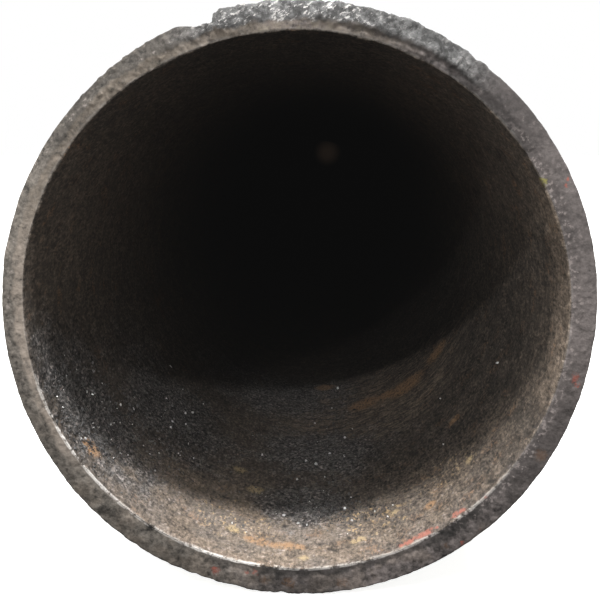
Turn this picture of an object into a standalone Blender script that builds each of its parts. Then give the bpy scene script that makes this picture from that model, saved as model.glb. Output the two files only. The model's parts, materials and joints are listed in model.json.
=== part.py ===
"""A long corroded steel pipe, lying level, open at both ends.

Units are metres and +Z is up. The pipe lies along Y on the plane z = 0, with its middle over the origin and
its near mouth facing -Y. Everything is one solid: the wall, with a weld bevel cut around both ends.
"""

import math

import bmesh
import bpy

# The stock size, to the corners of the round surfaces' flats.
OUTSIDE_DIAMETER = 0.2191
WALL = 0.0103
LENGTH = 6.0

# The bore runs this far above the outside's axis, so the wall is thickest along the bottom, and the pipe lies
# on its heavy side.
BORE_RISE = 0.0011

# Each end has a flat land around the bore, then a bevel that slopes back to the outside.
LAND_WIDTH = 0.0035
BEVEL_ANGLE = math.radians(30)

# The bore's sharp lip has worn to a small chamfer.
LIP_CHAMFER = 0.0008

# A flake has broken out of the near mouth's outer edge, to the left of its top.
CHIP_DEPTH = 0.0026
CHIP_WIDTH = 0.019
CHIP_ANGLE = math.radians(19)

# Each round surface is made of this many flats, and the pipe lies on its lowest one.
FACETS = 72

# How far a cutter runs past the face it leaves, and the distance at which a turned shape's points merge.
CUT_PAST = 0.01
MERGE = 0.00001

OUTER_RADIUS = OUTSIDE_DIAMETER / 2
BORE_RADIUS = OUTER_RADIUS - WALL
LIP_RADIUS = BORE_RADIUS + LIP_CHAMFER
LAND_RADIUS = LIP_RADIUS + LAND_WIDTH
BEVEL_SLOPE = math.tan(BEVEL_ANGLE)
HALF_LENGTH = LENGTH / 2
HALF_FACET = math.pi / FACETS
AXIS_HEIGHT = OUTER_RADIUS * math.cos(HALF_FACET)

RUST_COLOUR = (0.085, 0.066, 0.054, 1.0)
RUST_ROUGHNESS = 0.85
RUST_METALLIC = 0.15


def clear_scene():
    for old in list(bpy.data.objects):
        bpy.data.objects.remove(old)


def new_collection(name):
    collection = bpy.data.collections.new(name)
    bpy.context.scene.collection.children.link(collection)
    return collection


def rust_material():
    material = bpy.data.materials.new("rusted_steel")
    material.use_nodes = True
    surface = material.node_tree.nodes["Principled BSDF"]
    surface.inputs["Base Color"].default_value = RUST_COLOUR
    surface.inputs["Roughness"].default_value = RUST_ROUGHNESS
    surface.inputs["Metallic"].default_value = RUST_METALLIC
    return material


def turned_solid(name, profile, collection, axis_height):
    """A profile of (radius, height) points turned about an axis along Y: its top end faces -Y.

    The profile starts on the axis, runs out, down the outer side and back in.
    """
    mesh = bpy.data.meshes.new(name)
    shape = bmesh.new()
    points = [shape.verts.new((radius, 0, height)) for radius, height in profile]
    for start, end in zip(points, points[1:]):
        shape.edges.new((start, end))
    shape.to_mesh(mesh)
    shape.free()
    turned = bpy.data.objects.new(name, mesh)
    collection.objects.link(turned)
    turned.rotation_euler = (math.radians(90), HALF_FACET, 0)
    turned.location = (0, 0, axis_height)
    screw = turned.modifiers.new("turn", "SCREW")
    screw.axis = "Z"
    screw.angle = 2 * math.pi
    screw.steps = FACETS
    screw.render_steps = FACETS
    screw.use_merge_vertices = True
    screw.merge_threshold = MERGE
    return turned


def bar_profile():
    """The round outside as a solid bar, longer than the pipe."""
    past = HALF_LENGTH + CUT_PAST
    return [(0, past), (OUTER_RADIUS, past), (OUTER_RADIUS, -past), (0, -past)]


def ends_profile():
    """What the two ends leave standing: flat out to the land's rim, then sloping back past the outside."""
    wide = OUTER_RADIUS + CUT_PAST
    slope_end = HALF_LENGTH - (wide - LAND_RADIUS) * BEVEL_SLOPE
    return [
        (0, HALF_LENGTH),
        (LAND_RADIUS, HALF_LENGTH),
        (wide, slope_end),
        (wide, -slope_end),
        (LAND_RADIUS, -HALF_LENGTH),
        (0, -HALF_LENGTH),
    ]


def bore_profile():
    """The bore, flaring at 45 degrees through each lip and past both ends."""
    lip = HALF_LENGTH - LIP_CHAMFER
    past = HALF_LENGTH + CUT_PAST
    flare = LIP_RADIUS + CUT_PAST
    return [
        (0, past),
        (flare, past),
        (BORE_RADIUS, lip),
        (BORE_RADIUS, -lip),
        (flare, -past),
        (0, -past),
    ]


def chip_ball(collection):
    """A ball that bites CHIP_DEPTH into the outside's edge, CHIP_WIDTH across."""
    half_width = CHIP_WIDTH / 2
    # The bite is a lens between two arcs: the outside bulges by edge_rise, and the ball makes up the rest.
    edge_rise = OUTER_RADIUS - math.sqrt(OUTER_RADIUS**2 - half_width**2)
    ball_rise = CHIP_DEPTH - edge_rise
    ball_radius = (half_width**2 + ball_rise**2) / (2 * ball_rise)
    from_axis = OUTER_RADIUS - CHIP_DEPTH + ball_radius
    edge_y = -HALF_LENGTH + (OUTER_RADIUS - LAND_RADIUS) * BEVEL_SLOPE
    place = (
        -from_axis * math.sin(CHIP_ANGLE),
        edge_y,
        AXIS_HEIGHT + from_axis * math.cos(CHIP_ANGLE),
    )
    bpy.ops.mesh.primitive_uv_sphere_add(segments=48, ring_count=24, radius=ball_radius, location=place)
    ball = bpy.context.active_object
    ball.name = "chip_ball"
    for home in list(ball.users_collection):
        home.objects.unlink(ball)
    collection.objects.link(ball)
    return ball


def combine(target, helper, operation):
    """A Boolean on the target with a helper that stays out of renders."""
    helper.hide_render = True
    helper.display_type = "WIRE"
    boolean = target.modifiers.new(helper.name, "BOOLEAN")
    boolean.operation = operation
    boolean.solver = "EXACT"
    boolean.object = helper


def build_pipe():
    parts = new_collection("corroded_pipe")
    cutters = new_collection("cutters")
    bore_height = AXIS_HEIGHT + BORE_RISE
    pipe = turned_solid("pipe", bar_profile(), parts, AXIS_HEIGHT)
    pipe.data.materials.append(rust_material())
    combine(pipe, turned_solid("ends", ends_profile(), cutters, bore_height), "INTERSECT")
    combine(pipe, turned_solid("bore", bore_profile(), cutters, bore_height), "DIFFERENCE")
    combine(pipe, chip_ball(cutters), "DIFFERENCE")


clear_scene()
build_pipe()
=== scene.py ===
import json
import math
import random

import bmesh
import bpy
import numpy as np
from bpy.props import FloatProperty, FloatVectorProperty, IntProperty, PointerProperty
from mathutils import Euler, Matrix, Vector, noise


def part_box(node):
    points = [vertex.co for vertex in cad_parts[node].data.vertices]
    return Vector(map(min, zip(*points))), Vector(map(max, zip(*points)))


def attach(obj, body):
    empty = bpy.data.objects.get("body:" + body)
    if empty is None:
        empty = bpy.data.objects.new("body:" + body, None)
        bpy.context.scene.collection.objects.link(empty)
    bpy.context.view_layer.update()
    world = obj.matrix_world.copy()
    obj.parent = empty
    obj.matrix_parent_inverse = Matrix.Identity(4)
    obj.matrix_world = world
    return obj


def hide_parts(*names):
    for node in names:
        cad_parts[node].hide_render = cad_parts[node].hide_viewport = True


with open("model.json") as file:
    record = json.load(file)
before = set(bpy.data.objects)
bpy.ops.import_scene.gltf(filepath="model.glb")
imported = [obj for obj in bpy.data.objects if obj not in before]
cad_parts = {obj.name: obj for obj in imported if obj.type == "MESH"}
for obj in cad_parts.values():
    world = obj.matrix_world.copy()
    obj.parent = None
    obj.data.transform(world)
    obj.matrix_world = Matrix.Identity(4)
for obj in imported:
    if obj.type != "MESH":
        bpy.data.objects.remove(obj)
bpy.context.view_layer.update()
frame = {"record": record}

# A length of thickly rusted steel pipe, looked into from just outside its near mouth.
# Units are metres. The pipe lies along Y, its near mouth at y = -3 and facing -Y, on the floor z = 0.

bl_info = {
    "name": "Rusted steel pipe",
    "version": (1, 0, 0),
    "blender": (4, 5, 0),
    "location": "3D View > Sidebar > Pipe",
    "description": "Dresses a length of corroded steel pipe and lights it",
    "category": "Add Mesh",
}

LOW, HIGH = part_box("pipe")
NEAR_END = next(mount for mount in frame["record"]["mounts"] if mount["name"] == "near_end")
BODY = "root"

# The camera stands in front of the near mouth, above its middle, and looks down a little.
CAMERA_PLACE = Vector((0.0120, -3.2888, 0.168546))
CAMERA_TURN = Euler((math.radians(90 - 10.11), 0, math.radians(1.91)))
CAMERA_LENS = 48.78
SENSOR_WIDTH = 36.0
IMAGE_WIDTH = 600
IMAGE_HEIGHT = 595

# The middle of the mouth's ring in the photograph, and a radius between its edges, in pixels.
RING_MIDDLE = (299.7, 297.1)
RING_RADIUS = 284.0

# The faint light deep in the bore, in pixels, and how far in front of the camera its card stands.
GLOW_PIXEL = (327.5, 152.5)
CARD_AWAY = 2.95
CARD_SHARE = 0.985

# The photograph's blacks are a little grey.
BLACK_LEVEL = -0.0038
FLOOR_SIZE = 80

# Each lamp's place from the mouth's middle, its width and its height
MAIN_LIGHT = (Vector((0.12, -1.0, 4.70)).normalized() * 3, 2.7, 0.26)
SECOND_LAMP = (Vector((-0.100, -0.4, 0.399)), 0.035, 0.012)
THIRD_LAMP = (Vector((-0.165, -0.4, 0.262)), 0.03, 0.02)


def length(name, default, description):
    return FloatProperty(
        name=name, default=default, description=description, min=0.0, subtype="DISTANCE", unit="LENGTH"
    )


def colour(name, default, description):
    return FloatVectorProperty(
        name=name, default=default, description=description, size=3, min=0.0, max=1.0, subtype="COLOR"
    )


def power(name, default, description):
    return FloatProperty(name=name, default=default, description=description, min=0.0, unit="POWER")


class PipeSizes(bpy.types.PropertyGroup):
    """Sizes of the pipe and of its rust."""

    outside_diameter: length("Outside diameter", HIGH.z - LOW.z, "Across the round outside")
    pipe_length: length("Length", HIGH.y - LOW.y, "From mouth to mouth")
    bore_height: length("Bore height", NEAR_END["pos_m"][2], "The bore's axis above the floor")
    bore_radius: length("Bore radius", 0.09925, "Radius of the bore")
    lip: length("Lip", 0.0003, "Width and depth of the bore's worn lip")
    land: length("Land", 0.0035, "Width of the flat ring around the bore")
    setback: length("Bevel setback", 0.0015, "How far the bevel slopes back from the mouth, on average")
    chip_depth: length("Chip depth", 0.0046, "Depth of the broken place in the outer edge")
    crust: length("Crust", 0.0008, "Height of the blistered crust along the top of the mouth")
    scale: length("Scale", 0.00036, "Thickness of the scale that has flaked off in patches")
    pits: length("Pits", 0.00016, "Depth of the pits")
    grain: length("Grain size", 0.00062, "Size of a loose grain of scale")
    grains: IntProperty(name="Grains", default=4500, min=0, description="Loose grains along the bore")


class RustColours(bpy.types.PropertyGroup):
    """Colours of the rust, the bare places and the specks of paint, with painted highlights on the lip and on
    glinting grains.
    """

    soot: colour("Dark scale", (0.022, 0.020, 0.018), "The darkest scale")
    under: colour("Dull scale", (0.066, 0.056, 0.047), "Scale under the bore's brown")
    brown: colour("Brown rust", (0.118, 0.096, 0.077), "The bore's mottled brown")
    tan: colour("Tan rust", (0.275, 0.216, 0.166), "Dusty rust in the bore and along the lip")
    dust: colour("Grey dust", (0.170, 0.152, 0.140), "Dust on the bore's floor")
    orange: colour("Orange rust", (0.32, 0.150, 0.055), "Fresh rust")
    weathered: colour("Old orange rust", (0.150, 0.082, 0.042), "Patches on the outside")
    bore_orange: colour("Orange in the bore", (0.46, 0.27, 0.14), "Specks of fresh rust")
    gold: colour("Gold rust", (0.48, 0.335, 0.17), "Flecks on the bore's floor")
    ochre: colour("Ochre rust", (0.55, 0.42, 0.24), "Yellow specks in the bore")
    ring_right: colour("Ring, right", (0.172, 0.149, 0.142), "The mouth's ring on its right")
    ring_left: colour("Ring, left", (0.148, 0.131, 0.113), "The mouth's ring on its left")
    ring_tan: colour("Inner ring, upper left", (0.30, 0.25, 0.20), "The ring's inner part there")
    ring_pale: colour("Inner ring, left", (0.42, 0.355, 0.30), "The ring's inner part there")
    ring_olive: colour("Inner ring, top", (0.36, 0.315, 0.25), "The ring's inner part there")
    crust: colour("Grey crust", (0.150, 0.149, 0.147), "The blistered crust at the top")
    crust_dark: colour("Dark crust", (0.050, 0.049, 0.048), "Hollows in the crust")
    fleck: colour("White fleck", (0.55, 0.53, 0.51), "White specks in the crust")
    pale: colour("Pale rust", (0.40, 0.345, 0.325), "Small light flakes")
    # Worn lip: partly bare steel, partly a painted highlight, so near-white
    worn: colour("Worn lip", (0.78, 0.74, 0.70), "The bright line along the lip")
    caked_dark: colour("Caked grains, dark", (0.034, 0.033, 0.033), "The darkest caked grains")
    caked_light: colour("Caked grains, light", (0.262, 0.250, 0.243), "The lightest ones")
    grain_dark: colour("Loose grains, dark", (0.050, 0.048, 0.047), "The darkest loose grains")
    grain_light: colour("Loose grains, light", (0.190, 0.185, 0.182), "The lightest ones")
    # Glints are painted near-white: painted highlights
    glint: colour("Glints", (0.90, 0.90, 0.90), "Loose grains that catch the light")
    paint: colour("Red paint", (0.42, 0.130, 0.095), "Specks of old paint on the ring")
    bore_paint: colour("Red paint in the bore", (0.47, 0.170, 0.125), "Old paint just inside the mouth")
    lichen: colour("Lichen", (0.36, 0.33, 0.10), "A yellow speck on the ring")


class StudioSettings(bpy.types.PropertyGroup):
    """The floor and the lights."""

    floor: colour("Floor", (0.86, 0.86, 0.85), "The pale floor")
    sky: FloatProperty(name="Fill", default=1.0, min=0.0, description="Soft light from all round")
    main: power("Main light", 165.0, "Wide light high over the mouth")
    second: power("Second lamp", 0.94, "Lamp to the left")
    third: power("Third lamp", 0.27, "Low lamp in front")


# Where the photograph shows things, worked back on to the pipe

def sight_line(px, py):
    """The direction that a pixel of the photograph looks in."""
    across = (px - IMAGE_WIDTH / 2) / IMAGE_WIDTH * SENSOR_WIDTH / CAMERA_LENS
    up = (IMAGE_HEIGHT / 2 - py) / IMAGE_WIDTH * SENSOR_WIDTH / CAMERA_LENS
    way = Vector((across, up, -1))
    way.rotate(CAMERA_TURN)
    return way.normalized()


def seen_on_mouth(px, py, plane=LOW.y):
    """The point of the mouth's plane behind a pixel."""
    way = sight_line(px, py)
    return CAMERA_PLACE + way * ((plane - CAMERA_PLACE.y) / way.y)


def seen_in_bore(px, py, sizes):
    """The point of the bore's wall behind a pixel."""
    way = sight_line(px, py)
    start = CAMERA_PLACE - Vector((0, 0, sizes.bore_height))
    a = way.x**2 + way.z**2
    b = start.x * way.x + start.z * way.z
    c = start.x**2 + start.z**2 - sizes.bore_radius**2
    run = (-b + math.sqrt(b * b - a * c)) / a
    return CAMERA_PLACE + way * run


def ring_turn(angle, sizes):
    """The pipe's own angle, clockwise from the right, at an angle of the photographed ring, in degrees."""
    turn = math.radians(angle)
    px = RING_MIDDLE[0] + RING_RADIUS * math.cos(turn)
    py = RING_MIDDLE[1] + RING_RADIUS * math.sin(turn)
    spot = seen_on_mouth(px, py)
    return math.degrees(math.atan2(sizes.bore_height - spot.z, spot.x)) % 360


# The pipe's mesh

SEGMENTS = 90
BORE, LIP, LAND, BEVEL, BARREL = range(5)

# Where the near mouth's inner edge stands in: (angle clockwise from the right, half width, soft edge) in
# degrees, and how far in. It fades within this depth.
RIM_SHIFTS = [(138, 40, 16, 0.00045), (250, 10, 8, 0.00040)]
RIM_FADE = 0.012

# The chip runs between these angles of the photographed ring.
CHIP_START, CHIP_END = 245.2, 252.9

# How deep the finest relief goes, how far back the worn outer edge fades, and the far bevel's setback
DETAIL_DEPTH = 0.42
WORN_BACK = 0.018
FAR_SETBACK = 0.0022


def steps(start, end, first, growth):
    """Distances from start to end, a step apart that grows with the distance covered."""
    found = [start]
    while found[-1] < end:
        found.append(found[-1] + first + growth * (found[-1] - start))
    return found[:-1] + [end]


def ring_plan(sizes):
    """The closed skin's rings, as (kind, end, place): from the bore's middle out round the near mouth, back
    along the outside and in at the far one. Place is a share of a lip, land or bevel, or else a distance from
    the end."""
    half = sizes.pipe_length / 2
    deep = [0.11, 0.40, 1.0, 1.7, 2.4]
    close = steps(sizes.lip, deep[0], 0.00125, 0.0165)
    middle = steps(deep[0], deep[1], 0.0055, 0.032)[1:]
    bore = [half] + deep[:1:-1] + middle[::-1] + close[::-1]
    plan = [(BORE, -1, place) for place in bore]
    plan += [(LIP, -1, 0.5)]
    plan += [(LAND, -1, share / 7) for share in range(8)]
    plan += [(BEVEL, -1, share / 11) for share in range(1, 12)]
    near = [0.0045, 0.0065, 0.009, 0.013, 0.019, 0.027, 0.038, 0.052, 0.075, 0.11, 0.15]
    plan += [(BARREL, -1, place) for place in near]
    plan += [(BARREL, -1, 0.15 + 0.155 * count) for count in range(1, 19)]
    plan += [(BARREL, 1, 0.15 + 0.155 * count) for count in range(17, -1, -1)]
    plan += [(BARREL, 1, place) for place in (0.08, 0.035, 0.012, 0.005)]
    plan += [(BEVEL, 1, 1 - share / 4) for share in range(4)]
    plan += [(LAND, 1, 1 - share / 2) for share in range(3)]
    plan += [(LIP, 1, 0.5)]
    plan += [(BORE, 1, place) for place in (sizes.lip, 0.004, 0.012, 0.03, 0.07, 0.15, 0.4, 1.0, 1.7, 2.4)]
    return plan


def ease(value, low, high):
    """0 below low, 1 above high, and smooth between."""
    share = np.clip((value - low) / (high - low), 0, 1)
    return share * share * (3 - 2 * share)


def facing(turn, angle, half_width, soft):
    """1 within half_width degrees of an angle clockwise from the right, falling to 0 over soft more."""
    apart = np.abs((-np.degrees(turn) - angle + 180) % 360 - 180)
    return 1 - ease(apart, half_width, half_width + soft)


def edge_radius(turn):
    """Radius of the near mouth's worn outer edge: eaten away along the left, crusted along the top."""
    return (
        0.10892
        + 0.00087 * np.cos(turn)
        + 0.00078 * np.sin(turn)
        - 0.00069 * np.cos(2 * turn)
        + 0.00036 * np.sin(2 * turn)
        + 0.00045 * facing(turn, 52, 26, 18)
        - 0.00020 * facing(turn, 228, 26, 12)
    )


def rim_shift(turn):
    """How far the near mouth's inner edge stands in from the bore's radius."""
    return sum(shift * facing(turn, *zone) for *zone, shift in RIM_SHIFTS)


def ring_middles(kinds, places, sizes):
    """The height of each ring's middle: the bore's axis, the barrel's, or between them on the bevel."""
    share = np.where(kinds == BARREL, 1.0, np.where(kinds == BEVEL, places, 0.0))
    return sizes.bore_height + (sizes.outside_diameter / 2 - sizes.bore_height) * share


def place_rings(kinds, ends, places, turn, sizes):
    """The plain pipe's points: (x, y, z) arrays for points of the given rings at the given angles."""
    outer = sizes.outside_diameter / 2
    half = sizes.pipe_length / 2
    lip_radius = sizes.bore_radius + sizes.lip
    land_radius = lip_radius + sizes.land
    mouth = np.where(ends < 0, 1.0, 0.0)
    edge = np.where(ends < 0, edge_radius(turn), outer)
    radius = np.full(len(turn), sizes.bore_radius)
    depth = places.copy()
    middle = ring_middles(kinds, places, sizes)
    lip = kinds == LIP
    radius[lip] = sizes.bore_radius + sizes.lip * 0.62
    depth[lip] = sizes.lip * 0.38
    land = kinds == LAND
    radius[land] = lip_radius + places[land] * sizes.land
    depth[land] = 0.0
    bevel = kinds == BEVEL
    share = places[bevel]
    radius[bevel] = land_radius + (edge[bevel] - land_radius) * share
    slope = np.where(ends < 0, sizes.setback + 0.0008 * np.sin(turn), FAR_SETBACK)
    depth[bevel] = slope[bevel] * share**1.25
    inner = (kinds == BORE) | lip | land
    radius[inner] -= (rim_shift(turn) * mouth * np.exp(-depth / RIM_FADE))[inner]
    barrel = kinds == BARREL
    worn = np.exp(-places / WORN_BACK) * mouth
    radius[barrel] = (outer + (edge - outer) * worn)[barrel]
    x = radius * np.cos(turn)
    z = middle + radius * np.sin(turn)
    y = ends * (half - depth)
    return x, y, z


def read_vectors(items, name):
    """The vectors of a mesh's points, one a row."""
    found = np.zeros(len(items) * 3, np.float32)
    items.foreach_get(name, found)
    return found.reshape(-1, 3).astype(float)


def select_ring_edges(pipe, first, last):
    """Selects the edges that run round the pipe on these rings."""
    shape = bmesh.from_edit_mesh(pipe.data)
    layer = shape.verts.layers.float["ring"]
    for edge in shape.edges:
        start, end = (corner[layer] for corner in edge.verts)
        if abs(start - end) < 0.01 and first - 0.01 < start < last + 0.01:
            edge.select = True
    bmesh.update_edit_mesh(pipe.data)


def snap_to_rings(pipe, plan, sizes):
    """Puts every point on its own ring of the plain pipe, at the angle where it is."""
    mesh = pipe.data
    ring = np.zeros(len(mesh.vertices), np.float32)
    mesh.attributes["ring"].data.foreach_get("value", ring)
    ring = np.rint(ring).astype(int)
    points = read_vectors(mesh.vertices, "co")
    kinds, ends, places = (np.array(column, float)[ring] for column in zip(*plan))
    turn = np.arctan2(points[:, 2] - ring_middles(kinds, places, sizes), points[:, 0])
    x, y, z = place_rings(kinds, ends, places, turn, sizes)
    mesh.vertices.foreach_set("co", np.stack([x, y, z], 1).astype(np.float32).ravel())
    mesh.update()
    return kinds, ends, places, turn


def plain_skin(plan, sizes):
    """The closed skin of the pipe: one circle, extruded ring by ring and joined to itself."""
    bpy.ops.object.select_all(action="DESELECT")
    kinds, ends, places = (np.array(column, float) for column in zip(*plan))
    x, y, z = place_rings(kinds, ends, places, np.zeros(len(plan)), sizes)
    top = place_rings(kinds, ends, places, np.full(len(plan), math.pi / 2), sizes)[2]
    low = place_rings(kinds, ends, places, np.full(len(plan), -math.pi / 2), sizes)[2]
    radii = (top - low) / 2
    middles = (top + low) / 2
    bpy.ops.mesh.primitive_circle_add(
        vertices=SEGMENTS, radius=radii[0], location=(0, y[0], middles[0]), rotation=(math.pi / 2, 0, 0)
    )
    pipe = bpy.context.active_object
    pipe.name = "rusted_pipe"
    pipe.data.name = "rusted_pipe"
    bpy.ops.object.transform_apply(location=True, rotation=True, scale=True)
    bpy.ops.object.mode_set(mode="EDIT")
    bpy.ops.mesh.select_mode(type="EDGE")
    bpy.ops.mesh.select_all(action="SELECT")
    for this in range(1, len(plan)):
        move = (0, y[this] - y[this - 1], middles[this] - middles[this - 1])
        grow = radii[this] / radii[this - 1]
        bpy.ops.mesh.extrude_region_move(TRANSFORM_OT_translate={"value": move})
        bpy.ops.transform.resize(value=(grow, 1, grow), center_override=(0, y[this], middles[this]))
    bpy.ops.object.mode_set(mode="OBJECT")
    count = len(pipe.data.vertices)
    if count != SEGMENTS * len(plan):
        raise RuntimeError(f"the skin has {count} points and not {SEGMENTS * len(plan)}")
    attribute = pipe.data.attributes.new("ring", "FLOAT", "POINT")
    attribute.data.foreach_set("value", np.repeat(np.arange(len(plan)), SEGMENTS).astype(np.float32))
    bpy.ops.object.mode_set(mode="EDIT")
    shape = bmesh.from_edit_mesh(pipe.data)
    for edge in shape.edges:
        edge.select = edge.is_boundary
    bmesh.update_edit_mesh(pipe.data)
    bpy.ops.mesh.bridge_edge_loops()
    bpy.ops.mesh.select_all(action="SELECT")
    bpy.ops.mesh.normals_make_consistent(inside=False)
    bpy.ops.object.mode_set(mode="OBJECT")
    return pipe


def refine_mouth(pipe, plan, sizes):
    """Splits the rings into more and more segments toward the near mouth."""

    def ring_of(kind, end, place):
        same = [i for i, row in enumerate(plan) if row[0] == kind and row[1] == end]
        return min(same, key=lambda i: abs(plan[i][2] - place))

    far_bore = ring_of(BORE, 1, 0.15)
    far_barrel = ring_of(BARREL, 1, 0.035)
    zones = [
        [(ring_of(BORE, -1, 0.40), ring_of(BARREL, -1, 0.15)), (far_barrel, far_bore)],
        [(ring_of(BORE, -1, 0.30), ring_of(BARREL, -1, 0.052))],
        [(ring_of(BORE, -1, 0.11), ring_of(BARREL, -1, 0.009))],
        [(ring_of(BORE, -1, 0.0015), ring_of(BEVEL, -1, 1.0))],
    ]
    for zone in zones:
        bpy.ops.object.mode_set(mode="EDIT")
        bpy.ops.mesh.select_mode(type="EDGE")
        for first, last in zone:
            bpy.ops.mesh.select_all(action="DESELECT")
            select_ring_edges(pipe, first, last)
            bpy.ops.mesh.subdivide(number_cuts=1, ngon=False)
        bpy.ops.object.mode_set(mode="OBJECT")
        found = snap_to_rings(pipe, plan, sizes)
    return found


def waves(points, size, seed, octaves=1):
    """Smooth noise from about -1 to 1 at points, with lumps of about this size."""
    move = Vector((seed * 17.3, seed * 5.1, seed * 9.7))
    if octaves == 1:
        return np.array([noise.noise(Vector(point) / size + move) for point in points])
    return np.array([noise.fractal(Vector(point) / size + move, 1.0, 2.0, octaves) for point in points])


def weather(pipe, found, sizes):
    """Moves the skin's points into waves, flaked scale, pits, crust, a ragged outer edge and the chip."""
    kinds, ends, places, turn = found
    mesh = pipe.data
    points = read_vectors(mesh.vertices, "co")
    normals = read_vectors(mesh.vertex_normals, "vector")

    def zone(angle, half_width, soft):
        return facing(turn, ring_turn(angle, sizes), half_width, soft)

    near = ends < 0
    bore = kinds == BORE
    barrel = kinds == BARREL
    ring = ~bore & ~barrel
    depth = np.where(ring, 0.0, places)
    lift = 0.00028 * waves(points, 0.045, 1)
    lift += 0.00012 * waves(points, 0.015, 2)
    close = np.flatnonzero(near & (ring | (depth < DETAIL_DEPTH)))
    spots = points[close]
    kind = kinds[close]
    place = places[close]
    deep = depth[close]
    on_bore = bore[close].astype(float)
    on_ring = ring[close].astype(float)

    # Scale has flaked off in patches, which leaves low steps with pitted steel between them
    step = ease(waves(spots, 0.013, 3, 3), -0.05, 0.12)
    pits = ease(waves(spots, 0.0036, 4, 2), 0.12, 0.55)
    rise = sizes.scale * step * (0.15 + 0.85 * on_bore)
    rise -= sizes.pits * pits * (0.4 + 1.4 * on_bore)
    rise += 0.00008 * waves(spots, 0.0017, 5) * (0.5 + 0.5 * on_bore)

    # Coarse grains have caked on the bore's lower left and bottom
    caked = zone(147, 20, 14)[close] * (1 - ease(deep, 0.14, 0.25))
    bed = zone(97, 13, 12)[close] * ease(deep, 0.015, 0.045) * (1 - ease(deep, 0.25, 0.4))
    caked = np.maximum(caked, bed) * on_bore * ease(deep, 0.0, 0.006)
    rise += caked * 0.0004 * np.clip(waves(spots, 0.0021, 6, 2) + 0.35, 0, 2)

    # A blistered crust sits on the outer part of the ring from the chip round past the top
    blister = waves(spots, 0.0055, 7, 3)
    outside = np.where(kind == LAND, ease(place + 0.7 * blister, 0.45, 1.0), 0.0)
    outside = np.where(kind == BEVEL, 1.0, outside)
    outside = np.where(kind == BARREL, 1 - ease(deep, 0.004, 0.02), outside)
    grit = waves(spots, 0.0019, 8, 2)
    crusted = zone(280, 21, 12)[close] * outside
    rise += crusted * sizes.crust * (0.20 + 0.60 * ease(blister, -0.15, 0.35) + 0.45 * grit)
    groove = zone(294, 9, 9)[close] * (kind == LAND)
    groove = groove * ease(place, 0.35, 0.6) * (1 - ease(place, 0.7, 0.95))
    rise -= groove * 0.00035

    # The whole ring is scabby, its lower part most, and flakes stand up beside the chip
    scabs = waves(spots, 0.0042, 13, 3)
    rise += on_ring * 0.00008 * scabs + on_ring * 0.00006 * ease(scabs, 0.15, 0.3)
    rise += zone(105, 35, 20)[close] * on_ring * 0.00010 * waves(spots, 0.0028, 9, 2)
    rise += zone(240, 14, 8)[close] * on_ring * 0.0003 * ease(waves(spots, 0.0026, 10), 0.1, 0.35)
    lift[close] += rise
    points += normals * lift[:, None]

    # The outer edge is ragged: gnawed along the bottom and between the crust's blisters
    outer = sizes.outside_diameter / 2
    edge = np.flatnonzero(near & ((kinds == BEVEL) | (barrel & (depth < 0.02))))
    at_turn = turn[edge]
    deep = depth[edge]
    radial = np.hypot(points[edge, 0], points[edge, 2] - outer)
    rim = np.stack([np.cos(at_turn), np.sin(at_turn), np.zeros(len(edge))], 1) * outer
    gnaw = np.clip(waves(rim, 0.0060, 11, 4) + 0.2, -0.1, 1.0)
    bite = 0.00008 + zone(106, 22, 10) * 0.0005 + zone(286, 20, 8) * 0.0006 + zone(68, 5, 6) * 0.0005
    worn = np.where(kinds[edge] == BEVEL, ease(places[edge], 0.2, 1.0), 1 - ease(deep, 0.006, 0.02))
    wanted = radial - bite[edge] * gnaw * worn

    # The chip: its floor slopes in from the left and breaks off short on the right
    first, last = ring_turn(CHIP_START, sizes), ring_turn(CHIP_END, sizes)
    across = ((-np.degrees(at_turn) - first + 180) % 360 - 180) / (last - first)
    inside = (across > 0) & (across < 1)
    across = np.clip(across, 0, 1)
    hollow = sizes.chip_depth * 0.64 * ease(across, -0.05, 0.62) * (1 - ease(across, 0.92, 1.0))
    hollow += 0.0009 * across * waves(points[edge], 0.0028, 12, 3)
    hollow = hollow * (1 - ease(deep, 0.006, 0.019))
    wanted = np.where(inside, np.minimum(wanted, edge_radius(at_turn) + 0.0002 - hollow), wanted)
    shrink = wanted / radial
    points[edge, 0] *= shrink
    points[edge, 2] = outer + (points[edge, 2] - outer) * shrink

    points[:, 2] = np.maximum(points[:, 2], 0.0)
    mesh.vertices.foreach_set("co", points.astype(np.float32).ravel())
    mesh.update()


# Shader maths

class Value:
    """A number that varies over the surface. An expression on values adds Math nodes."""

    def __init__(self, shader, socket):
        self.shader = shader
        self.socket = socket

    def math(self, operation, *others):
        sockets = {index: other for index, other in enumerate((self,) + others)}
        return self.shader.value("ShaderNodeMath", {"operation": operation}, sockets)

    def __add__(self, other):
        return self.math("ADD", other)

    def __sub__(self, other):
        return self.math("SUBTRACT", other)

    def __mul__(self, other):
        return self.math("MULTIPLY", other)

    def __truediv__(self, other):
        return self.math("DIVIDE", other)

    def __rsub__(self, other):
        return self.shader.value("ShaderNodeMath", {"operation": "SUBTRACT"}, {0: other, 1: self})

    __radd__ = __add__
    __rmul__ = __mul__

    def ease(self, low, high):
        """0 at low, 1 at high and smooth between. Low may be above high."""
        settings = {"interpolation_type": "SMOOTHSTEP"}
        return self.shader.value("ShaderNodeMapRange", settings, {0: self, 1: low, 2: high})

    def most(self, other):
        return self.math("MAXIMUM", other)


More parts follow.
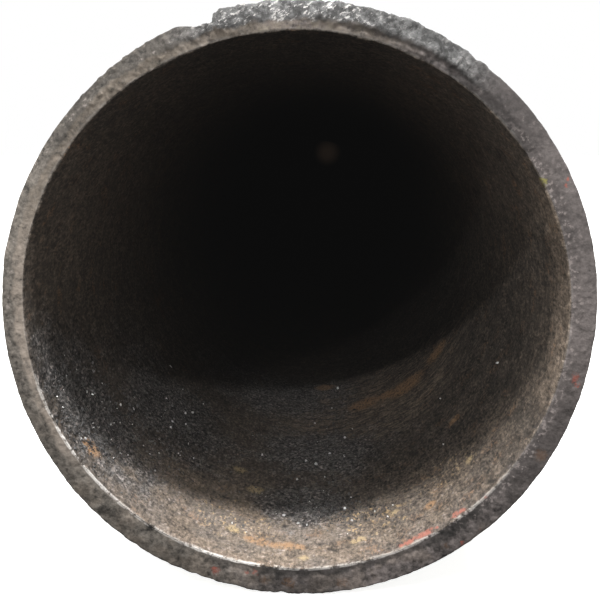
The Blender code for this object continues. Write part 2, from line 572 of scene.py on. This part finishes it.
class Shader:
    """The nodes of a material or of the world, made from Python."""

    def __init__(self, owner, coordinates="Object"):
        owner.use_nodes = True
        self.owner = owner
        self.tree = owner.node_tree
        self.surface = self.tree.nodes.get("Principled BSDF")
        self.place = self.node("ShaderNodeTexCoord").outputs[coordinates]

    def node(self, kind, settings=None, sockets=None):
        made = self.tree.nodes.new(kind)
        for name, setting in (settings or {}).items():
            setattr(made, name, setting)
        for name, wanted in (sockets or {}).items():
            wanted = getattr(wanted, "socket", wanted)
            if isinstance(wanted, bpy.types.NodeSocket):
                self.tree.links.new(wanted, made.inputs[name])
            else:
                made.inputs[name].default_value = wanted
        return made

    def value(self, kind, settings=None, sockets=None, output=0):
        return Value(self, self.node(kind, settings, sockets).outputs[output])

    def split(self, vector):
        made = self.node("ShaderNodeSeparateXYZ", None, {0: vector})
        return [Value(self, socket) for socket in made.outputs]

    def join(self, x, y, z):
        return self.node("ShaderNodeCombineXYZ", None, {0: x, 1: y, 2: z}).outputs[0]

    def stretch(self, vector, scale, move=(0, 0, 0)):
        sockets = {0: vector, 1: scale, 2: move}
        return self.node("ShaderNodeVectorMath", {"operation": "MULTIPLY_ADD"}, sockets).outputs[0]

    def noise(self, size, detail=3.0, roughness=0.6, seed=0, vector=None):
        """Cloudy noise with lumps of about this size."""
        moved = self.stretch(vector or self.place, (1 / size,) * 3, (seed * 3.7, seed * 8.1, seed * 5.3))
        sockets = {"Vector": moved, "Scale": 1.0, "Detail": detail, "Roughness": roughness}
        return self.value("ShaderNodeTexNoise", None, sockets)

    def tones(self, size, seed=0):
        """A random tone for each cell, from 0 to 1."""
        moved = self.stretch(self.place, (1 / size,) * 3, (seed * 3.7, seed * 8.1, seed * 5.3))
        made = self.node("ShaderNodeTexVoronoi", None, {"Vector": moved, "Scale": 1.0})
        return self.split(made.outputs["Color"])[0]

    def mix(self, share, under, over):
        """A colour: under where share is 0, over where it is 1."""
        both = (under, over)
        picked = [one if isinstance(one, bpy.types.NodeSocket) else (*one, 1.0) for one in both]
        sockets = {0: share, 6: picked[0], 7: picked[1]}
        return self.node("ShaderNodeMix", {"data_type": "RGBA"}, sockets).outputs[2]

    def shade(self, colour, factor):
        """A colour times a number."""
        grey = self.join(factor, factor, factor)
        return self.node("ShaderNodeVectorMath", {"operation": "MULTIPLY"}, {0: colour, 1: grey}).outputs[0]

    def apart(self, point):
        """Distance from a point."""
        sockets = {0: self.place, 1: tuple(point)}
        return self.value("ShaderNodeVectorMath", {"operation": "DISTANCE"}, sockets, 1)

    def connect(self, wanted, socket):
        """Links a value or a node's output to a socket of the surface."""
        self.tree.links.new(getattr(wanted, "socket", wanted), self.surface.inputs[socket])

    def show(self, seen, lit=None):
        """Shows a shader, or else one to the camera and another one to the light that bounces."""
        if lit:
            camera = self.node("ShaderNodeLightPath").outputs["Is Camera Ray"]
            sockets = {0: camera, 1: lit.outputs[0], 2: seen.outputs[0]}
            seen = self.node("ShaderNodeMixShader", None, sockets)
        self.tree.links.new(seen.outputs[0], self.tree.get_output_node("ALL").inputs["Surface"])


def greatest(values):
    """The greatest of several values, point by point."""
    found = values[0]
    for value in values[1:]:
        found = found.most(value)
    return found


# Zones of the photographed ring, as (angle, half width, soft edge) in degrees, and how much lighter it is
RING_TONES = [
    (3, 5, 8, 0.20), (32, 5, 9, -0.26), (47, 5, 8, -0.10), (70, 8, 8, 0.18), (90, 3, 7, -0.30),
    (106, 4, 6, 0.36), (148, 22, 12, 0.20), (183, 8, 12, 0.18), (230, 8, 18, -0.44), (256, 2, 5, -0.60),
    (316, 5, 10, -0.50), (343, 8, 10, -0.16),
]

# The same in the bore, with the depths at which a tone is off and full, or None where it is full all along
BORE_TONES = [
    (56, 10, 12, (0.055, 0.040), -0.24),
    (128, 10, 10, None, -0.14),
    (150, 30, 12, (0.035, 0.08), -0.20),
    (160, 9, 10, (0.08, 0.05), -0.26),
    (205, 25, 20, None, 0.26),
    (255, 25, 20, None, -0.22),
    (318, 16, 16, (0.35, 0.10), 0.46),
]

# Patches of the bore: (pixel x, pixel y, radius in metres)
CAKED_PATCHES = [
    (95, 415, 0.050), (165, 405, 0.060), (320, 455, 0.050), (280, 395, 0.070), (305, 502, 0.030),
    (55, 370, 0.030),
]
GOLD_PATCHES = [(452, 470, 0.020), (380, 520, 0.018), (240, 520, 0.022)]
STREAKED_PATCH = (382, 400, 0.080)
# Painted shade at the second lamp's shadow edge, and painted light at the main light's shadow edge
PAINTED_SHADE_PATCH = (425, 352, 0.055)
PAINTED_LIGHT_PATCH = (195, 490, 0.030)

# Specks of colour: (pixel x, pixel y, radius in metres)
PAINT_ON_RING = [
    (575, 377, 0.0016), (577, 385, 0.0010), (246, 572, 0.0010), (255, 571, 0.0011), (216, 570, 0.0014),
    (462, 543, 0.0008), (569, 179, 0.0008), (566, 186, 0.0006), (480, 528, 0.0006),
]
PAINT_IN_BORE = [
    (402, 546, 0.0013), (407, 543, 0.0016), (412, 541, 0.0017), (417, 538, 0.0018), (422, 535, 0.0020),
    (428, 532, 0.0020), (456, 515, 0.0016), (462, 511, 0.0012), (485, 497, 0.0009), (437, 528, 0.0008),
]
ORANGE_IN_BORE = [
    (92, 449, 0.0040), (86, 443, 0.0026), (250, 540, 0.0026), (262, 543, 0.0030), (275, 546, 0.0030),
    (288, 547, 0.0030), (300, 547, 0.0022), (430, 505, 0.0025), (406, 386, 0.0110), (364, 404, 0.0090),
    (386, 395, 0.0060), (437, 352, 0.0080), (325, 388, 0.0060), (455, 420, 0.0030),
]
OCHRE_IN_BORE = [
    (355, 541, 0.0018), (361, 539, 0.0020), (394, 512, 0.0020), (233, 529, 0.0024), (304, 558, 0.0018),
    (470, 460, 0.0022), (255, 490, 0.0035), (240, 470, 0.0030),
]
LICHEN_ON_RING = [(541, 181, 0.0013), (544, 185, 0.0010)]
RUST_ON_RING = [
    (541, 455, 0.0022), (289, 582, 0.0022), (343, 582, 0.0020), (265, 579, 0.0016), (445, 545, 0.0013),
]


class PipeSkin(Shader):
    """The pipe's material, with the places and noises that its layers of rust share."""

    def __init__(self, sizes, rust):
        super().__init__(bpy.data.materials.new("rust_skin"))
        self.sizes = sizes
        self.rust = rust
        self.x, self.y, self.z = self.split(self.place)
        up = self.z - sizes.bore_height
        self.far = (self.x * self.x + up * up).math("SQRT")
        self.right = self.x / self.far
        self.down = (up * -1) / self.far
        half = sizes.pipe_length / 2
        self.depth = self.y + half
        self.end = half - self.y.math("ABSOLUTE")

        # The distance from the axis, as if the mouth's inner edge were round
        self.lip_radius = sizes.bore_radius + sizes.lip
        self.rim = self.far + self.tones_around(RIM_SHIFTS) * (self.depth * (-1 / RIM_FADE)).math("EXPONENT")
        self.in_bore = self.rim.ease(self.lip_radius + 0.0002, self.lip_radius - 0.0003)
        self.on_face = (1 - self.in_bore) * self.end.ease(0.0055, 0.0030)

        # Noises, coarse to fine: two are drawn out along the pipe and one across the ring
        drawn_out = self.stretch(self.place, (1, 0.45, 1))
        outward = self.join(self.right * 0.104, self.down * 0.104, self.far * 0.32)
        self.clouds = self.noise(0.030, 5.0, 0.62, 1)
        self.tint = self.noise(0.020, 3.0, 0.55, 5)
        self.blots = self.noise(0.012, 4.0, 0.6, 4)
        self.mottle = self.noise(0.0065, 5.0, 0.68, 2)
        self.grain = self.noise(0.0042, 4.0, 0.66, 12, drawn_out)
        self.flakes = self.noise(0.0034, 4.0, 0.7, 7)
        self.scratches = self.noise(0.0022, 4.0, 0.65, 9, outward)
        self.speck = self.noise(0.0016, 3.0, 0.6, 3)
        self.fine = self.noise(0.0012, 3.0, 0.65, 13, drawn_out)

    def around(self, angle, half_width, soft):
        """1 within half_width degrees of an angle of the photographed ring."""
        way = math.radians(ring_turn(angle, self.sizes))
        toward = self.right * math.cos(way) + self.down * math.sin(way)
        inner = math.cos(math.radians(half_width))
        outer = math.cos(math.radians(half_width + soft))
        return toward.ease(outer, inner)

    def tones_around(self, zones):
        """The sum of the zones of a list, each times its last number."""
        return sum(self.around(*zone) * amount for *zone, amount in zones)

    def patch(self, px, py, size):
        """1 at the bore's wall behind a pixel, falling to 0 at this distance."""
        return 1 - self.apart(seen_in_bore(px, py, self.sizes)) / size

    def patches(self, places):
        return greatest([self.patch(*place) for place in places])


def bore_colour(skin):
    """Brown over dark scale, with tan dust, orange patches, gold flecks, caked grains, some painted glints,
    and painted shade and light along the lamps' shadow edges.
    """
    rust, depth, mix, around = skin.rust, skin.depth, skin.mix, skin.around
    fine, grain, speck = skin.fine, skin.grain, skin.speck
    rough = grain * 0.5 + fine * 0.5
    near = skin.y.ease(0.5, -0.5)
    floor = around(92, 20, 46) * depth.ease(0.10, 0.03) * near
    rim_dust = around(2, 18, 12) * depth.ease(0.030, 0.012) * near
    bore = mix(rough.ease(0.30, 0.62), rust.under, rust.brown)

    # Dust and streaks that run round the bore
    wrapped = skin.join(skin.right * 0.09, skin.down * 0.09, skin.y * 3.0)
    streaks = skin.noise(0.007, 4.0, 0.6, 8, wrapped) - 0.5
    streaked = skin.patch(*STREAKED_PATCH).ease(0.0, 0.5) * depth.ease(0.07, 0.12)
    dusty = floor * 0.66 + rim_dust * 0.65 + (rough - 0.5) * 2.2 + (skin.clouds - 0.5) * 0.9
    dusty = dusty + streaks * around(8, 34, 25) * 1.2 + 0.06
    bore = mix(dusty.most(streaked * (0.40 + streaks * 9)), bore, rust.tan)
    bore = mix(skin.tint.ease(0.44, 0.58) * floor * 0.45, bore, rust.dust)

    # Orange, gold and pale flecks; the pale ones are partly painted sparkle
    bore = mix(skin.blots.ease(0.55, 0.68) * fine.ease(0.42, 0.60) * 0.35, bore, rust.orange)
    golden = (skin.patches(GOLD_PATCHES) + (skin.tint - 0.5) * 2).ease(0.0, 0.6)
    golden = golden * (skin.flakes * 0.5 + fine * 0.5).ease(0.52, 0.62)
    bore = mix(golden * floor * 0.80, bore, rust.gold)
    light_flecks = (speck * 0.6 + grain * 0.4).ease(0.57, 0.66)
    bore = mix(light_flecks * (floor * 0.5 + 0.1), bore, rust.pale)

    # Caked grains, each with a tone of its own; the palest stand in for glints as painted highlights
    dots = skin.tones(0.0010, 14)
    ragged = (skin.clouds - 0.5) * 1.6 + (skin.blots - 0.5) * 1.2 + (grain - 0.5) * 1.2
    caked = (skin.patches(CAKED_PATCHES) + ragged).ease(0.05, 0.70)
    grains = mix(dots * 0.75 + (fine - 0.5) * 1.7, rust.caked_dark, rust.caked_light)
    grains = mix(dots.ease(0.90, 0.97) * 0.75, grains, rust.pale)
    bore = mix(caked * 0.85, bore, grains)

    # Tones that change along and round the bore
    tone = 1 - around(42, 26, 20) * depth.ease(0.030, 0.065) * (1 - streaked * 0.6) * 0.36
    # Painted shade in a band just past the main light's shadow edge along the bottom
    tone = tone - around(75, 38, 14) * depth.ease(0.042, 0.055) * depth.ease(0.095, 0.070) * 0.12
    for *zone, depths, lighter in BORE_TONES:
        there = around(*zone) * lighter
        tone = tone + (there * depth.ease(*depths) if depths else there)
    # Painted shade at the second lamp's shadow edge on the lower right, painted light at the main light's
    # edge below
    tone = tone - skin.patch(*PAINTED_SHADE_PATCH).ease(0.0, 0.7) * 0.30
    tone = tone + skin.patch(*PAINTED_LIGHT_PATCH).ease(0.0, 0.7) * 0.25
    grainy = (fine - 0.5) * 1.8 + (speck - 0.5) * 1.3 + (dots - 0.5) * 0.40 + (skin.mottle - 0.5) * 1.6
    return skin.shade(bore, tone + grainy)


def ring_colour(skin):
    """Soft mottles over a tone that changes round the ring, partly painted shade along its bottom, a paler
    inner part, and crust along the top.
    """
    rust, mix, around = skin.rust, skin.mix, skin.around
    blots, mottle, flakes, speck, scratches = skin.blots, skin.mottle, skin.flakes, skin.speck, skin.scratches
    ring = mix(around(175, 62, 30), rust.ring_right, rust.ring_left)
    # Brown and dark scale along the bottom; the dark there is partly painted shade
    ring = mix(blots.ease(0.50, 0.62) * around(98, 42, 30) * 0.50, ring, rust.brown)
    ring = mix(blots.ease(0.48, 0.36) * around(95, 40, 30) * 0.50, ring, rust.soot)
    mottled = (mottle - 0.5) * 2.0 + (flakes - 0.5) * 1.8 + (speck - 0.5) * 2.4 + (scratches - 0.5) * 1.4
    mottled = mottled * (1 - around(358, 38, 20) * 0.50) + (blots - 0.5) * around(98, 30, 20) * 2.2
    ring = skin.shade(ring, (1 + skin.tones_around(RING_TONES)) * (1 + mottled))
    light_flakes = (flakes * 0.5 + speck * 0.5).ease(0.58, 0.66)
    flaked = around(225, 48, 25) * 0.45 + around(335, 30, 15) * 0.2 + 0.08
    ring = mix(light_flakes * flaked, ring, rust.pale)

    # The inner part, with a wandering edge
    wander = (blots - 0.5) * 0.006 + (mottle - 0.5) * 0.005 + (flakes - 0.5) * 0.003
    land_radius = skin.lip_radius + skin.sizes.land
    inner_part = (skin.rim + wander).ease(land_radius + 0.0008, land_radius - 0.0010)
    ring = mix(inner_part * around(220, 58, 20) * (0.45 + (flakes - 0.5) * 2.4), ring, rust.ring_tan)
    ring = mix(inner_part * around(170, 20, 12) * (0.60 + (flakes - 0.5) * 2.6), ring, rust.ring_pale)
    # Near-black inner part along the bottom: partly painted shade
    ring = mix(inner_part * around(78, 26, 14) * 0.60, ring, rust.soot)
    ring = mix(inner_part * around(10, 40, 12) * speck.ease(0.55, 0.62) * 0.55, ring, rust.pale)
    ring = mix(inner_part * around(272, 12, 8) * (0.12 + (mottle - 0.5) * 5), ring, rust.ring_olive)
    ring = skin.shade(ring, 1 - inner_part * around(298, 16, 10) * 0.30)

    # The crust, with slanting white slivers, and the dark seam under its right end
    lumps = flakes * 0.6 + speck * 0.2 + scratches * 0.2
    crust = mix(lumps.ease(0.42, 0.57), rust.crust_dark, rust.crust)
    slanted = skin.join(skin.x * 0.82 + skin.z * 0.57, skin.y, skin.z * 0.82 - skin.x * 0.57)
    slivers = skin.noise(0.0010, 3.0, 0.7, 15, skin.stretch(slanted, (0.38, 1, 1)))
    flecks = (flakes * 0.35 + slivers * 0.65).ease(0.52, 0.61)
    crust = mix(flecks * (around(266, 10, 12) * 0.70 + 0.25), crust, rust.fleck)
    crust = skin.shade(crust, 1 + around(268, 7, 7) * 0.30 - around(256, 3, 4) * 0.20)
    ring = mix(around(278, 22, 13) * (1 - inner_part), ring, crust)
    wandered = skin.far + wander * 0.5
    seam = wandered.ease(skin.lip_radius + 0.0022, skin.lip_radius + 0.0032)
    seam = seam * wandered.ease(skin.lip_radius + 0.0050, skin.lip_radius + 0.0038)
    return mix(seam * around(291, 14, 9) * 0.55, ring, rust.soot)


def outside_colour(skin):
    """Dark scale with streaks and patches of brown and orange rust."""
    rust, mix = skin.rust, skin.mix
    runs = skin.noise(0.020, 5.0, 0.62, 10, skin.stretch(skin.place, (1, 0.12, 1)))
    patches = skin.noise(0.16, 5.0, 0.62, 11)
    outside = mix((runs * 0.5 + skin.mottle * 0.5).ease(0.38, 0.62), rust.soot, rust.brown)
    outside = mix((patches * 0.6 + runs * 0.4).ease(0.50, 0.62) * 0.8, outside, rust.weathered)
    outside = mix((patches * 0.5 + skin.blots * 0.5).ease(0.56, 0.66) * 0.6, outside, rust.orange)
    return mix(skin.flakes.ease(0.60, 0.70) * 0.6, outside, rust.tan)


def lip_wear_and_highlight(skin):
    """A thin worn line along the lip, painted bright as a highlight too, most of all at the bottom."""
    edge = skin.rim + (skin.flakes - 0.5) * 0.0012
    line = edge.ease(skin.lip_radius - 0.0007, skin.lip_radius - 0.0002)
    line = line * edge.ease(skin.lip_radius + 0.0008, skin.lip_radius + 0.0003)
    line = line * skin.end.ease(0.0016, 0.0007)
    # Brightest at the bottom, where the lip catches the light: a painted highlight
    rub_and_highlight = skin.tones_around([(104, 6, 8, 0.50), (100, 52, 18, 0.34), (148, 10, 10, 0.45)]) + 0.10
    return line * rub_and_highlight * (skin.fine * 0.4 + skin.mottle * 0.6).ease(0.42, 0.54)


def pipe_material(sizes, rust):
    """Rust over scale: brown and mottled in the bore, grey on the mouth's ring, crusted along its top."""
    skin = PipeSkin(sizes, rust)
    fine = skin.fine
    colour = skin.mix(skin.on_face, outside_colour(skin), ring_colour(skin))
    colour = skin.mix(skin.in_bore, colour, bore_colour(skin))
    # The lip's worn line, painted bright as a highlight too
    colour = skin.mix(lip_wear_and_highlight(skin), colour, rust.worn)

    def on_bore(px, py):
        return seen_in_bore(px, py, sizes)

    def on_ring(px, py):
        return seen_on_mouth(px, py, LOW.y + 0.0008)

    wobble = (skin.speck - 0.5) * 0.0030 + (skin.mottle - 0.5) * 0.0020
    worn_through = fine.ease(0.36, 0.54) * 0.85 + 0.15
    for places, finder, tint, amount in (
        (PAINT_ON_RING, on_ring, rust.paint, 0.8),
        (PAINT_IN_BORE, on_bore, rust.bore_paint, 0.85),
        (ORANGE_IN_BORE, on_bore, rust.bore_orange, 0.75),
        (OCHRE_IN_BORE, on_bore, rust.ochre, 0.75),
        (LICHEN_ON_RING, on_ring, rust.lichen, 0.9),
        (RUST_ON_RING, on_ring, rust.orange, 0.25),
    ):
        masks = [
            (skin.apart(finder(px, py)) + wobble).ease(size * 1.5, size * 0.6) for px, py, size in places
        ]
        colour = skin.mix(greatest(masks) * worn_through * amount, colour, tint)
    skin.connect(colour, "Base Color")

    # Fine relief that the mesh is too coarse for
    height = (fine * 0.5 + skin.grain * 0.6) * (1 - skin.on_face * 0.7) + skin.speck * skin.on_face * 0.22
    sockets = {"Strength": 1.0, "Distance": 0.0007, "Height": height}
    skin.connect(skin.node("ShaderNodeBump", None, sockets).outputs[0], "Normal")
    skin.connect(0.86 - fine.ease(0.55, 0.75) * 0.24, "Roughness")
    skin.surface.inputs["Metallic"].default_value = 0.12
    return skin.owner


def grain_material(rust):
    """Grains of scale, each with its own tone, a few of them painted near-white as painted glints."""
    shader = Shader(bpy.data.materials.new("loose_scale_skin"))
    tone = shader.value("ShaderNodeAttribute", {"attribute_name": "tone"}, None, 2)
    skin = shader.mix(tone.ease(0.0, 0.95), rust.grain_dark, rust.grain_light)
    # Glinting grains are painted near-white: painted highlights
    skin = shader.mix(tone.ease(0.95, 0.99), skin, rust.glint)
    shader.connect(skin, "Base Color")
    shader.connect(0.70 - tone.ease(0.90, 0.99) * 0.40, "Roughness")
    shader.surface.inputs["Metallic"].default_value = 0.25
    return shader.owner


# Where loose grains lie: (pixel x, pixel y, half width, half height, share of them)
GRAIN_BEDS = [
    (95, 420, 46, 60, 30), (62, 385, 16, 40, 8), (150, 440, 60, 50, 14), (180, 415, 30, 36, 9),
    (325, 450, 34, 60, 16), (250, 470, 90, 50, 6), (325, 510, 50, 16, 14),
]

# The grains start this far in, and a glint has this tone, which paints the grain near-white as a highlight.
GRAINS_FROM = 0.002
GLINTING = 1.0

# Single glints in the bore, in pixels: grains painted near-white as painted highlights
GLINTS = [
    (170, 367), (166, 399), (172, 422), (170, 428), (185, 414), (192, 413), (185, 425), (133, 409),
    (178, 454), (338, 389), (315, 424), (345, 438), (330, 454), (306, 462), (297, 480), (325, 478),
    (310, 503), (262, 456), (498, 363), (441, 399), (444, 445), (120, 405), (110, 425), (92, 395),
    (284, 516), (352, 521), (375, 512), (388, 517), (345, 509), (298, 524), (232, 524), (246, 533),
]


def grain_shape(draw):
    """One lump of scale: a rounded block, knocked out of true."""
    bpy.ops.object.select_all(action="DESELECT")
    bpy.ops.mesh.primitive_ico_sphere_add(subdivisions=1, radius=0.5, location=(0, 0, 0))
    lump = bpy.context.active_object
    corners = np.array([vertex.co[:] for vertex in lump.data.vertices])
    faces = np.array([polygon.vertices[:] for polygon in lump.data.polygons])
    bpy.data.objects.remove(lump)
    for corner in corners:
        corner *= draw.uniform(0.7, 1.25)
    return corners, faces


class PIPE_OT_body(bpy.types.Operator):
    """Makes the pipe's rusted skin in place of the plain solid"""

    bl_idname = "pipe.body"
    bl_label = "Rusted pipe"

    def execute(self, context):
        sizes = context.scene.pipe_sizes
        plan = ring_plan(sizes)
        pipe = plain_skin(plan, sizes)
        found = refine_mouth(pipe, plan, sizes)
        weather(pipe, found, sizes)
        pipe.data.attributes.remove(pipe.data.attributes["ring"])
        bpy.ops.object.select_all(action="DESELECT")
        pipe.select_set(True)
        context.view_layer.objects.active = pipe
        bpy.ops.object.shade_smooth()
        pipe.data.materials.append(pipe_material(sizes, context.scene.rust_colours))
        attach(pipe, BODY)
        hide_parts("pipe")
        return {"FINISHED"}


class PIPE_OT_grains(bpy.types.Operator):
    """Scatters loose grains of scale along the bottom of the bore"""

    bl_idname = "pipe.grains"
    bl_label = "Loose scale"

    def execute(self, context):
        sizes = context.scene.pipe_sizes
        draw = random.Random(11)
        shapes = [grain_shape(draw) for _ in range(8)]
        shares = [bed[4] for bed in GRAIN_BEDS]
        points = []
        faces = []
        tones = []

        def lay(spot, size, tone):
            corners, sides = draw.choice(shapes)
            turn = Euler([draw.uniform(0, math.tau) for _ in range(3)]).to_matrix()
            flat = np.array([draw.uniform(0.7, 1.5), draw.uniform(0.7, 1.5), draw.uniform(0.5, 1.0)])
            inward = Vector((-spot.x, 0, sizes.bore_height - spot.z)).normalized()
            seat = np.array(spot) + np.array(inward) * (size * 0.12 + 0.0002)
            faces.append(sides + len(points) * len(corners))
            points.append((corners * flat * size) @ np.array(turn).T + seat)
            tones.extend([tone] * len(corners))

        for _ in range(sizes.grains):
            px, py, wide, high, _share = draw.choices(GRAIN_BEDS, shares)[0]
            spot = seen_in_bore(draw.gauss(px, wide * 0.5), draw.gauss(py, high * 0.5), sizes)
            size = sizes.grain * math.exp(draw.gauss(0.0, 0.38))
            # A few grains get the glint tone: painted near-white as highlights
            tone = draw.uniform(0.0, 0.94) ** 1.5 if draw.random() < 0.975 else GLINTING
            if LOW.y + GRAINS_FROM < spot.y < LOW.y + DETAIL_DEPTH:
                lay(spot, size, tone)
        for px, py in GLINTS:
            spot = seen_in_bore(px, py, sizes)
            lay(spot, 0.0009 + 0.0050 * (spot.y - LOW.y), GLINTING)
        mesh = bpy.data.meshes.new("loose_scale")
        mesh.from_pydata(np.concatenate(points).tolist(), [], np.concatenate(faces).tolist())
        mesh.attributes.new("tone", "FLOAT", "POINT").data.foreach_set("value", tones)
        mesh.validate()
        grains = bpy.data.objects.new("loose_scale", mesh)
        context.scene.collection.objects.link(grains)
        mesh.materials.append(grain_material(context.scene.rust_colours))
        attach(grains, BODY)
        return {"FINISHED"}


def hang(thing, place, turn):
    """Hangs a light or a camera in the scene."""
    holder = bpy.data.objects.new(thing.name, thing)
    holder.location = place
    holder.rotation_euler = turn
    bpy.context.scene.collection.objects.link(holder)
    return holder


def lamp(name, strength, place, wide, high):
    """A soft lamp that faces the mouth."""
    light = bpy.data.lights.new(name, "AREA")
    light.shape = "RECTANGLE"
    light.energy = strength
    light.size = wide
    light.size_y = high
    mouth = Vector((0, LOW.y, NEAR_END["pos_m"][2]))
    hang(light, mouth + place, place.to_track_quat("Z", "Y").to_euler()).visible_camera = False


def floor_material(studio):
    """Pale paper to the camera, and dark to the light that would bounce off it."""
    pale = Shader(bpy.data.materials.new("floor_paint"))
    pale.surface.inputs["Roughness"].default_value = 0.9
    pale.surface.inputs["Emission Strength"].default_value = 0.98
    grain = pale.noise(0.35, 3.0, 0.5, 1)
    soft = pale.mix(grain * 0.10, studio.floor, (0.80, 0.80, 0.79))
    pale.connect(soft, "Base Color")
    pale.connect(soft, "Emission Color")
    dim = pale.node("ShaderNodeBsdfDiffuse", None, {"Color": (0.04, 0.04, 0.04, 1)})
    pale.show(pale.surface, dim)
    return pale.owner


def glow_material(place):
    """Black as painted shade, with a faint warm painted glow round a place."""
    glow = Shader(bpy.data.materials.new("bore_glow"))
    soft_edge = glow.apart(place).ease(0.054, 0.008)
    tone = glow.mix(soft_edge, (0.0, 0.0, 0.0), (0.0078, 0.0052, 0.0035))
    glow.show(glow.node("ShaderNodeEmission", None, {"Color": tone, "Strength": 1.0}))
    return glow.owner


def studio_world(studio):
    """White paper to the camera, and a dimmer fill on the pipe, strongest from the sides."""
    sky = Shader(bpy.data.worlds.new("studio"), "Generated")
    sideways, _forward, height = sky.split(sky.place)
    side = sideways.math("ABSOLUTE").ease(0.10, 0.85)
    side = side * (0.86 - sideways * 0.12)
    strength = (side + 0.30) * (height.ease(1.0, 0.0) * 0.6 + 0.4) * studio.sky
    fill = sky.node("ShaderNodeBackground", None, {"Color": (1.0, 0.98, 0.95, 1), "Strength": strength})
    paper = sky.node("ShaderNodeBackground", None, {"Color": (1, 1, 1, 1), "Strength": 1.0})
    sky.show(paper, fill)
    return sky.owner


class PIPE_OT_studio(bpy.types.Operator):
    """Lays the pale floor, closes the view through the bore, and hangs the lights and the camera"""

    bl_idname = "pipe.studio"
    bl_label = "Floor, lights and camera"

    def execute(self, context):
        scene = context.scene
        sizes = scene.pipe_sizes
        studio = scene.studio_settings
        scene.view_settings.view_transform = "Standard"
        scene.view_settings.use_curve_mapping = True
        curves = scene.view_settings.curve_mapping
        curves.black_level = (BLACK_LEVEL, BLACK_LEVEL, BLACK_LEVEL)
        curves.update()

        bpy.ops.object.select_all(action="DESELECT")
        bpy.ops.mesh.primitive_plane_add(size=FLOOR_SIZE, location=(0, 0, 0))
        floor = context.active_object
        floor.name = "floor"
        floor.data.materials.append(floor_material(studio))

        # A dark card deep in the bore is painted shade that closes it, and it carries a faint painted glow
        # where the far opening shows
        bpy.ops.object.select_all(action="DESELECT")
        way = sight_line(*GLOW_PIXEL)
        glow_place = CAMERA_PLACE + way * (CARD_AWAY / way.y)
        bpy.ops.mesh.primitive_circle_add(
            vertices=64,
            radius=sizes.bore_radius * CARD_SHARE,
            fill_type="NGON",
            location=(0, glow_place.y, sizes.bore_height),
            rotation=(math.pi / 2, 0, 0),
        )
        card = context.active_object
        card.name = "bore_card"
        bpy.ops.object.transform_apply(location=True, rotation=True, scale=True)
        card.data.materials.append(glow_material(glow_place))
        scene.world = studio_world(studio)

        lamp("main_light", studio.main, *MAIN_LIGHT)
        lamp("second_lamp", studio.second, *SECOND_LAMP)
        lamp("third_lamp", studio.third, *THIRD_LAMP)

        camera = bpy.data.cameras.new("camera")
        camera.lens = CAMERA_LENS
        camera.sensor_width = SENSOR_WIDTH
        camera.clip_start = 0.01
        camera.clip_end = 200
        scene.camera = hang(camera, CAMERA_PLACE, CAMERA_TURN)
        return {"FINISHED"}


class PIPE_PT_panel(bpy.types.Panel):
    """Sizes, colours and lights of the pipe"""

    bl_idname = "PIPE_PT_panel"
    bl_label = "Rusted pipe"
    bl_space_type = "VIEW_3D"
    bl_region_type = "UI"
    bl_category = "Pipe"

    def draw(self, context):
        layout = self.layout
        for operator in OPERATORS:
            layout.operator(operator.bl_idname)
        for name, kind in GROUPS.items():
            box = layout.box()
            for setting in kind.__annotations__:
                box.prop(getattr(context.scene, name), setting)


GROUPS = {"pipe_sizes": PipeSizes, "rust_colours": RustColours, "studio_settings": StudioSettings}
OPERATORS = [PIPE_OT_body, PIPE_OT_grains, PIPE_OT_studio]


def register():
    for item in list(GROUPS.values()) + OPERATORS + [PIPE_PT_panel]:
        bpy.utils.register_class(item)
    for name, group in GROUPS.items():
        setattr(bpy.types.Scene, name, PointerProperty(type=group))


def unregister():
    for name in GROUPS:
        delattr(bpy.types.Scene, name)
    for item in [PIPE_PT_panel] + OPERATORS[::-1] + list(GROUPS.values())[::-1]:
        bpy.utils.unregister_class(item)


def main():
    register()
    bpy.ops.pipe.body()
    bpy.ops.pipe.grains()
    bpy.ops.pipe.studio()
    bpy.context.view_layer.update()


if __name__ == "__main__":
    main()
